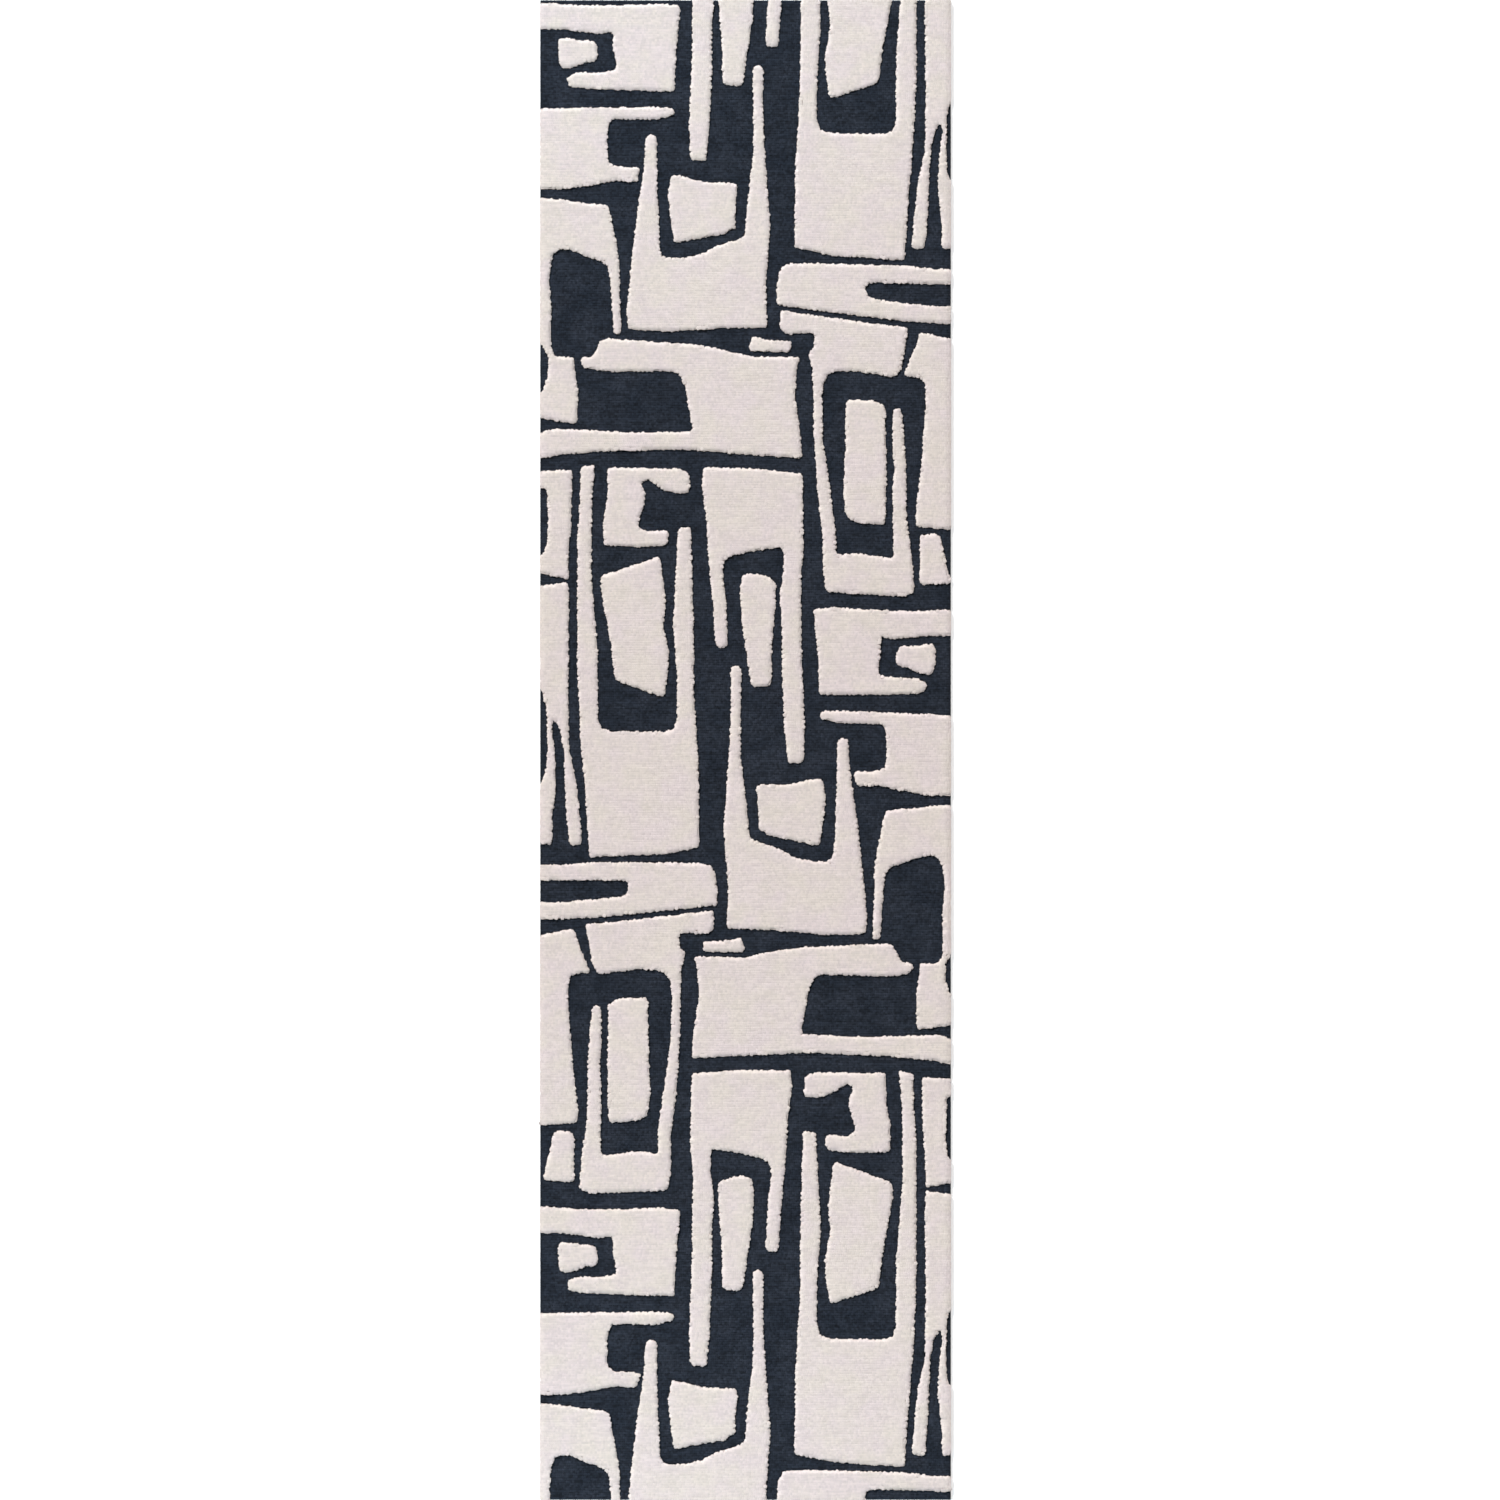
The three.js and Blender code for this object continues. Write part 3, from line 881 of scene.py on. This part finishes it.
jute = thread_finish(
    "sized_jute", rgb(0.60, 0.44, 0.26), rgb(0.36, 0.24, 0.12), twisted, 0.8, 0.3 * MM
)
edge_yarn = thread_finish(
    "whipping_yarn", rgb(0.72, 0.66, 0.61), rgb(0.5, 0.44, 0.39), whipped, 0.85, 0.15 * MM
)
tape_cotton = thread_finish(
    "tape_cotton", rgb(0.66, 0.59, 0.47), rgb(0.48, 0.41, 0.3), herringbone, 0.85, 0.12 * MM
)
label_satin = thread_finish(
    "label_satin", rgb(0.88, 0.87, 0.84), rgb(0.78, 0.77, 0.74), satin, 0.55, 0.03 * MM
)
print("Cloths:", ", ".join(m.name for m in (jute, edge_yarn, tape_cotton, label_satin)))

# %% [markdown]
# ## Laying in a row
#
# Wefts, warps, whipping and stitches are all one part laid again and again at an even step. A
# second Geometry Nodes tree does that: it sets out a line of points, puts the part on each,
# turns each one a little as a hand or a needle would, and adds the core that carries them.
# The helper for random numbers works on the tree that `start` and `asked` belong to, and
# from here on that is this one.

# %% Laying tree
laying, start, given = named_tree(
    "laying",
    {
        "Part": "Object",
        "Start": "Vector",
        "Step": "Vector",
        "Count": "Int",
        "Wobble": "Float",
        "Seed": "Int",
        "Yarn": "Material",
    },
)
asked = {s.name: Wire(laying, s) for s in given.outputs}
line = start.node(
    "GeometryNodeMeshLine",
    {"mode": "OFFSET"},
    {"Count": asked["Count"], "Start Location": asked["Start"], "Offset": asked["Step"]},
    "Mesh",
)
turn = start.node(
    "FunctionNodeAxisAngleToRotation",
    None,
    {"Axis": (0, 0, 1), "Angle": asked_scatter("Wobble", 1)},
    "Rotation",
)
part = start.node("GeometryNodeObjectInfo", None, {"Object": asked["Part"]}, "Geometry")
laid = start.node(
    "GeometryNodeInstanceOnPoints",
    None,
    {"Points": line, "Instance": part, "Rotation": turn},
    "Instances",
)
laid = start.node("GeometryNodeRealizeInstances", None, {"Geometry": laid}, "Geometry")
bunch = laying.nodes.new("GeometryNodeJoinGeometry")
for member in (asked["Geometry"], laid):
    join(laying, member, bunch.inputs[0])
dressed = start.node(
    "GeometryNodeSetMaterial",
    None,
    {"Geometry": Wire(laying, bunch.outputs[0]), "Material": asked["Yarn"]},
    "Geometry",
)
join(laying, dressed, laying.nodes.new("NodeGroupOutput").inputs[0])
print("Laying tree:", len(laying.nodes), "nodes")

# %% [markdown]
# ## Parts to lay
#
# A rod is a straight thread with a few flat sides. A ring is one turn of whipping yarn round
# the edge cord. A stitch is a rod whose two ends dive into the cloth.

# %% Rods, rings and stitches
def tube(name, path, radius, sides, closed=False):
    """A tube round a path of points, as a helper that goes once it has been laid."""
    path = [Vector(p) for p in path]
    count = len(path)
    points = []
    for index, point in enumerate(path):
        before = path[index - 1] if index or closed else point
        after = path[(index + 1) % count] if index + 1 < count or closed else point
        forward = (after - before).normalized()
        level = forward.orthogonal() if abs(forward.x) > 0.999 else forward.cross((1, 0, 0))
        level = level.normalized()
        upright = forward.cross(level)
        for side in range(sides):
            angle = math.tau * (side + 0.5) / sides
            points.append(point + radius * (math.cos(angle) * level + math.sin(angle) * upright))
    faces = []
    for index in range(count if closed else count - 1):
        here, there = index * sides, (index + 1) % count * sides
        for side in range(sides):
            after = (side + 1) % sides
            faces.append((here + side, here + after, there + after, there + side))
    if not closed:
        faces.append(tuple(reversed(range(sides))))
        faces.append(tuple(range((count - 1) * sides, count * sides)))
    mesh = plain_mesh(name, points, faces)
    tidy_faces(mesh)
    return shown(name, mesh)


def tidy_faces(mesh, smooth=True):
    """Turns the faces of a closed shape outwards and makes them smooth or flat."""
    shape = bmesh.new()
    shape.from_mesh(mesh)
    bmesh.ops.recalc_face_normals(shape, faces=shape.faces)
    for face in shape.faces:
        face.smooth = smooth
    shape.to_mesh(mesh)
    shape.free()


def lay(name, base, part, first, step, count, wobble, yarn, seed):
    """Lays a part along a line, on top of a base mesh, as one piece."""
    values = {
        "Part": part,
        "Start": first,
        "Step": step,
        "Count": count,
        "Wobble": math.radians(wobble),
        "Seed": seed,
        "Yarn": yarn,
    }
    piece = run_tree(shown(name, base), laying, values)
    bpy.data.objects.remove(part)
    return piece


# %% [markdown]
# ## Jute ground
#
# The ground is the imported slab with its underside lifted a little, so that the wefts stand
# out of it as ribs, one for every row of pile, with the thin chain warps that bind them below.
# It is the sheet of cloth that carries everything else in the rug.

# %% Jute ground
SLAB_LOW = 0.8 * MM
WEFT_HEIGHT, WEFT_RADIUS = 1.4 * MM, 1.2 * MM
WARP_HEIGHT, WARP_RADIUS = 0.4 * MM, 0.3 * MM
WARP_PITCH = 7.5 * MM
ROD_SIDES = 6
END_ROOM = 1 * MM
ground_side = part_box("ground_weave")[1].x
tape_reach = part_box("foot_end_tape")[1].y
ground = shown("jute_ground", solid_copy("jute_ground", "ground_weave", lowest=SLAB_LOW))
ground.data.materials.append(jute)
hand_over(ground, "ground_weave")

weft_count = round(-2 * tape_reach / ROW_PITCH) - 1
half_weft = ground_side - END_ROOM
half_warp = -tape_reach - END_ROOM
first_weft = (0, -(weft_count - 1) / 2 * ROW_PITCH, WEFT_HEIGHT)
weft = tube("weft", [(-half_weft, 0, 0), (half_weft, 0, 0)], WEFT_RADIUS, ROD_SIDES)
wefts = lay(
    "jute_wefts", plain_mesh("wefts", [], []), weft, first_weft,
    (0, ROW_PITCH, 0), weft_count, 0, jute, 1,
)
hand_over(wefts, "ground_weave")
warp_count = round(2 * half_weft / WARP_PITCH)
first_warp = (-(warp_count - 1) / 2 * WARP_PITCH, 0, WARP_HEIGHT)
warp = tube("warp", [(0, -half_warp, 0), (0, half_warp, 0)], WARP_RADIUS, ROD_SIDES)
warps = lay(
    "chain_warps", plain_mesh("warps", [], []), warp, first_warp,
    (WARP_PITCH, 0, 0), warp_count, 0, tape_cotton, 2,
)
hand_over(warps, "ground_weave")
print(f"The ground has {weft_count} wefts under {warp_count} chain warps")

# %% [markdown]
# ## Whipped edges
#
# Each long side is a cord that a machine whips with ivory yarn, turn beside turn. The turns
# are slanting rings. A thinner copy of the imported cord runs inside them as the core.

# %% Whipped edges
TURN_PITCH = 2.2 * MM
YARN_RADIUS = 0.4 * MM
CORE_SHARE = 0.7
RING_CORNERS = 6
RING_SIDES = 4
RING_SWELL = 1.1
RING_WIDTH = 0.62
RING_SLANT = 0.3
RING_WOBBLE = 4
EDGE_SEED = 10
edge_pieces = []
for side in ("left", "right"):
    low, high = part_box(side + "_serged_edge")
    middle = (low + high) / 2
    reach = (high - low) / 2 - Vector((1, 1, 1)) * YARN_RADIUS
    turns = round((high.y - low.y) / TURN_PITCH) - 1
    wide, tall = RING_SWELL * reach.x, RING_SWELL * reach.z
    corners = [math.tau * (corner + 0.5) / RING_CORNERS for corner in range(RING_CORNERS)]
    loop = [(wide * math.cos(a), 0, tall * math.sin(a)) for a in corners]
    ring = tube("turn", loop, YARN_RADIUS, RING_SIDES, closed=True)
    for point in ring.data.vertices:
        across_turn = point.co.y / YARN_RADIUS * TURN_PITCH * RING_WIDTH
        point.co.y = across_turn + RING_SLANT * point.co.x
    core = solid_copy("core", side + "_serged_edge")
    for point in core.vertices:
        point.co.x = middle.x + CORE_SHARE * (point.co.x - middle.x)
        point.co.z = middle.z + CORE_SHARE * (point.co.z - middle.z)
    first_turn = (middle.x, middle.y - (turns - 1) / 2 * TURN_PITCH, middle.z)
    edge = lay(
        side + "_whipped_edge", core, ring, first_turn,
        (0, TURN_PITCH, 0), turns, RING_WOBBLE, edge_yarn, EDGE_SEED + len(edge_pieces),
    )
    edge_pieces.append(hand_over(edge, side + "_serged_edge"))
print(f"{turns} turns of yarn along each side")

# %% [markdown]
# ## End tapes
#
# A cotton tape is folded over each cut end: flat under the ground and turned up at the end
# face. It is swept across the rug from one outline, and between its stitches the cloth lifts
# by a hair, which a perfectly flat strip would not show.

# %% End tapes
PUCKER = 0.12 * MM
STITCH_PITCH = 6 * MM
STATION = 3 * MM
TAPE_THICK = 0.8 * MM
TAPE_LIP = 0.9 * MM
TAPE_RIM = 0.25 * MM
TAPE_LIFT = 0.15 * MM
SEAM_INSETS = {"inner": 3 * MM, "outer": 20 * MM}
SEAM_ENDS = 4 * MM
THREAD_RADIUS = 0.28 * MM
THREAD_SIDES = 5
STITCH_SHARE = 0.36
STITCH_FLAT = 0.75
STITCH_DEEP, STITCH_SHALLOW = 0.5 * MM, 0.13 * MM
STITCH_WOBBLE = 3
TAPE_SEED = 20


def strip(name, outline, left, right, lift):
    """A closed outline of (y, z) points, carried across the rug and lifted a little by lift(x)."""
    stations = round((right - left) / STATION)
    size = len(outline)
    points, faces = [], []
    for station in range(stations + 1):
        x = left + (right - left) * station / stations
        points += [(x, y, z + lift(x)) for y, z in outline]
    for station in range(stations):
        here, there = station * size, (station + 1) * size
        for corner in range(size):
            after = (corner + 1) % size
            faces.append((here + corner, here + after, there + after, there + corner))
    faces.append(tuple(range(size)))
    faces.append(tuple(range(stations * size, (stations + 1) * size)))
    mesh = plain_mesh(name, points, faces)
    tidy_faces(mesh, smooth=False)
    return mesh


def stitch_row(name, low_end, high_end, aside, pitch, node, seed, along_y=False):
    """Lock stitches on the underside, each one diving into the cloth at both ends."""
    half = STITCH_SHARE * pitch
    flat = half * STITCH_FLAT
    path = [(-half, 0, STITCH_DEEP), (-flat, 0, STITCH_SHALLOW)]
    path += [(flat, 0, STITCH_SHALLOW), (half, 0, STITCH_DEEP)]
    if along_y:
        path = [(0, x, z) for x, _, z in path]
    thread = tube("thread", path, THREAD_RADIUS, THREAD_SIDES)
    count = round((high_end - low_end) / pitch)
    begin = low_end + (high_end - low_end - (count - 1) * pitch) / 2
    first = (aside, begin, 0) if along_y else (begin, aside, 0)
    step = (0, pitch, 0) if along_y else (pitch, 0, 0)
    bare = plain_mesh(name, [], [])
    row = lay(name, bare, thread, first, step, count, STITCH_WOBBLE, edge_yarn, seed)
    return hand_over(row, node)


def pucker(x):
    """How far the tape lifts between two stitches."""
    return PUCKER * 0.5 * (1 - math.cos(math.tau * x / STITCH_PITCH))


tape_pieces = []
for end, way in (("foot", -1), ("head", 1)):
    node = end + "_end_tape"
    low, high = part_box(node)
    inner, outer = (high.y, low.y) if way < 0 else (low.y, high.y)
    lip = outer - way * TAPE_LIP
    outline = [
        (inner, TAPE_LIFT),
        (inner + way * TAPE_RIM, 0),
        (outer - way * 2 * TAPE_RIM, 0),
        (outer, 2 * TAPE_RIM),
        (outer, high.z - TAPE_RIM),
        (outer - way * TAPE_RIM, high.z),
        (lip, high.z),
        (lip, TAPE_THICK),
        (inner, TAPE_THICK),
    ]
    tape = shown(end + "_tape", strip(node, outline, low.x, high.x, pucker))
    tape.data.materials.append(tape_cotton)
    tape_pieces.append(hand_over(tape, node))
    for row, inset in SEAM_INSETS.items():
        stitches = stitch_row(
            f"{end}_tape_{row}_stitches", low.x + SEAM_ENDS, high.x - SEAM_ENDS,
            inner + way * inset, STITCH_PITCH, node, TAPE_SEED,
        )
        tape_pieces.append(stitches)
print(f"{len(tape_pieces)} pieces close the two ends")

# %% [markdown]
# ## Care label
#
# A blank piece of satin with its edge folded in, sewn down on all four sides. It is left
# without any text.

# %% Care label
LABEL_STITCH = 3 * MM
SEAM = 2.5 * MM
FOLD = 1.5 * SEAM
LABEL_THICK = 0.18 * MM
LABEL_HOLLOW = 0.05 * MM
END_SEED, SIDE_SEED = 30, 40
low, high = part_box("care_label")


def label_lines(near, far, count):
    """Where the lines of the label's grid run, from one edge to the other."""
    return [near, near + FOLD, *np.linspace(near + 2 * SEAM, far - 2 * SEAM, count), far - FOLD, far]


across_label = label_lines(low.x, high.x, 12)
along_label = label_lines(low.y, high.y, 8)
points, faces = [], []
for y in along_label:
    for x in across_label:
        inner = min(x - low.x, high.x - x, y - low.y, high.y - y) > 1.6 * SEAM
        points.append((x, y, LABEL_HOLLOW if inner else 0))
width = len(across_label)
for row in range(len(along_label) - 1):
    for column in range(width - 1):
        corner = row * width + column
        faces.append((corner, corner + width, corner + width + 1, corner + 1))
last = len(along_label) - 1
border = [*range(width)]
border += [row * width + width - 1 for row in range(1, last)]
border += [last * width + column for column in reversed(range(width))]
border += [row * width for row in reversed(range(1, last))]
upper = len(points)
faces += [tuple(upper + corner for corner in face) for face in faces]
for here, there in zip(border, border[1:] + border[:1]):
    faces.append((here, there, upper + there, upper + here))
points += [(x, y, z + LABEL_THICK) for x, y, z in points]
label_mesh = plain_mesh("label", points, faces)
tidy_faces(label_mesh)
label = shown("blank_label", label_mesh)
label.data.materials.append(label_satin)
label_pieces = [hand_over(label, "care_label")]
for row, y in (("near", low.y + SEAM / 2), ("far", high.y - SEAM / 2)):
    stitches = stitch_row(
        f"label_{row}_stitches", low.x, high.x, y,
        LABEL_STITCH, "care_label", END_SEED,
    )
    label_pieces.append(stitches)
for row, x in (("left", low.x + SEAM / 2), ("right", high.x - SEAM / 2)):
    stitches = stitch_row(
        f"label_{row}_stitches", low.y + SEAM, high.y - SEAM, x,
        LABEL_STITCH, "care_label", SIDE_SEED, along_y=True,
    )
    label_pieces.append(stitches)
print(f"The label is {1000 * (high.x - low.x):.0f} by {1000 * (high.y - low.y):.0f} mm and blank")

# %% [markdown]
# ## What the ground carries
#
# The ground is a sheet of cloth, cut to the size of the rug and laid flat on the floor. The
# pile, the edges, the tapes and the label go with it, and are gathered here in one list.
# Tapes and label are small sheets too.

# %% Pieces on the ground
on_the_ground = [wefts, warps, *ivory_pieces, *charcoal_pieces, *edge_pieces]
on_the_ground += [*tape_pieces, *label_pieces]
print(f"The ground carries {len(on_the_ground)} pieces")

# %% [markdown]
# ## Size
#
# The number of pieces and triangles is printed, with the most in any one piece.

# %% Size
bpy.context.view_layer.update()
pieces = [ground, *on_the_ground]
for piece in pieces:
    piece.data.calc_loop_triangles()
triangles = [len(piece.data.loop_triangles) for piece in pieces]
print(f"{len(pieces)} pieces, {sum(triangles)} triangles, at most {max(triangles)} in one piece")
